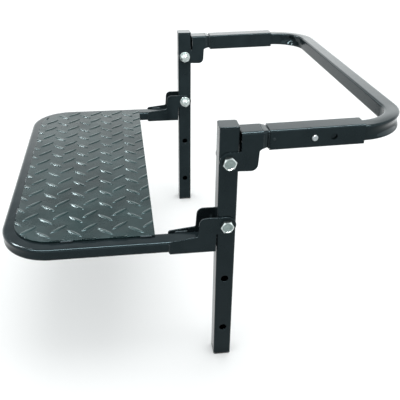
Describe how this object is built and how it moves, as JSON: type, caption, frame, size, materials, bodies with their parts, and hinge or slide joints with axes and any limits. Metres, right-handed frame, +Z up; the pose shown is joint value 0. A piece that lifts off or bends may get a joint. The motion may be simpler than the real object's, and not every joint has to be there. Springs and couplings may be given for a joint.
{
  "type": "vehicle hang-on step",
  "caption": "Folding chequer-plate step on two posts, hung from a tube hook that slides in locking sleeves; the step folds up and the hook folds down.",
  "frame": {"origin": "centre of the bottom of the whole part's bounding box at rest, with the step down and the hook up", "axes": "+X to the right of a person who faces the vehicle, +Y towards the vehicle, +Z up"},
  "size_m": [0.6312, 0.6514, 0.44],
  "materials": {
    "gloss_black_paint": "gloss",
    "tread_plate_paint": "satin",
    "zinc_plated_steel": "bright zinc plate",
    "spring_steel": "plated",
    "black_plastic": "matte"
  },
  "bodies": {
    "legs": {"post_right": "gloss_black_paint", "post_left": "gloss_black_paint", "post_end_plate_right": "gloss_black_paint", "post_end_plate_left": "gloss_black_paint", "post_foot_plug_right": "black_plastic", "post_foot_plug_left": "black_plastic", "crush_spacer_upper_right": "zinc_plated_steel", "crush_spacer_upper_left": "zinc_plated_steel", "crush_spacer_lower_right": "zinc_plated_steel", "crush_spacer_lower_left": "zinc_plated_steel", "pivot_bolt_upper_right": "zinc_plated_steel", "pivot_bolt_upper_left": "zinc_plated_steel", "pivot_bolt_lower_right": "zinc_plated_steel", "pivot_bolt_lower_left": "zinc_plated_steel", "washer_upper_right": "zinc_plated_steel", "washer_upper_left": "zinc_plated_steel", "washer_lower_right": "zinc_plated_steel", "washer_lower_left": "zinc_plated_steel", "lock_nut_upper_right": "zinc_plated_steel", "lock_nut_upper_left": "zinc_plated_steel", "lock_nut_lower_right": "zinc_plated_steel", "lock_nut_lower_left": "zinc_plated_steel"},
    "hook_arms": {"hook_bracket_right": "gloss_black_paint", "hook_bracket_left": "gloss_black_paint", "sleeve_neck_right": "gloss_black_paint", "sleeve_neck_left": "gloss_black_paint", "sleeve_right": "gloss_black_paint", "sleeve_left": "gloss_black_paint"},
    "hook": {"hook_tube": "gloss_black_paint"},
    "snap_clip_right": {"snap_clip_right": "spring_steel"},
    "snap_clip_left": {"snap_clip_left": "spring_steel"},
    "step": {"step_bracket_right": "gloss_black_paint", "step_bracket_left": "gloss_black_paint", "step_frame_tube": "gloss_black_paint", "tread_plate": "tread_plate_paint"}
  },
  "joints": [
    {"name": "hook_fold", "type": "hinge", "parent": "legs", "child": "hook_arms", "pos_m": [0, 0.03427, 0.385], "axis": [-1, 0, 0], "range_deg": [0, 90]},
    {"name": "hook_slide", "type": "slide", "parent": "hook_arms", "child": "hook", "axis": [0, 0.9997, 0.0227], "range_m": [0, 0.03], "deforming": ["snap_clip_right", "snap_clip_left"]},
    {"name": "button_press_right", "type": "slide", "parent": "hook", "child": "snap_clip_right", "axis": [-1, 0, 0], "range_m": [0, 0.0066], "stiffness_N_per_m": 1500, "deforming": ["snap_clip_right"]},
    {"name": "button_press_left", "type": "slide", "parent": "hook", "child": "snap_clip_left", "axis": [1, 0, 0], "range_m": [0, 0.0066], "stiffness_N_per_m": 1500, "deforming": ["snap_clip_left"]},
    {"name": "step_fold", "type": "hinge", "parent": "legs", "child": "step", "pos_m": [0, 0.03427, 0.275], "axis": [-1, 0, 0], "range_deg": [0, 90]}
  ]
}
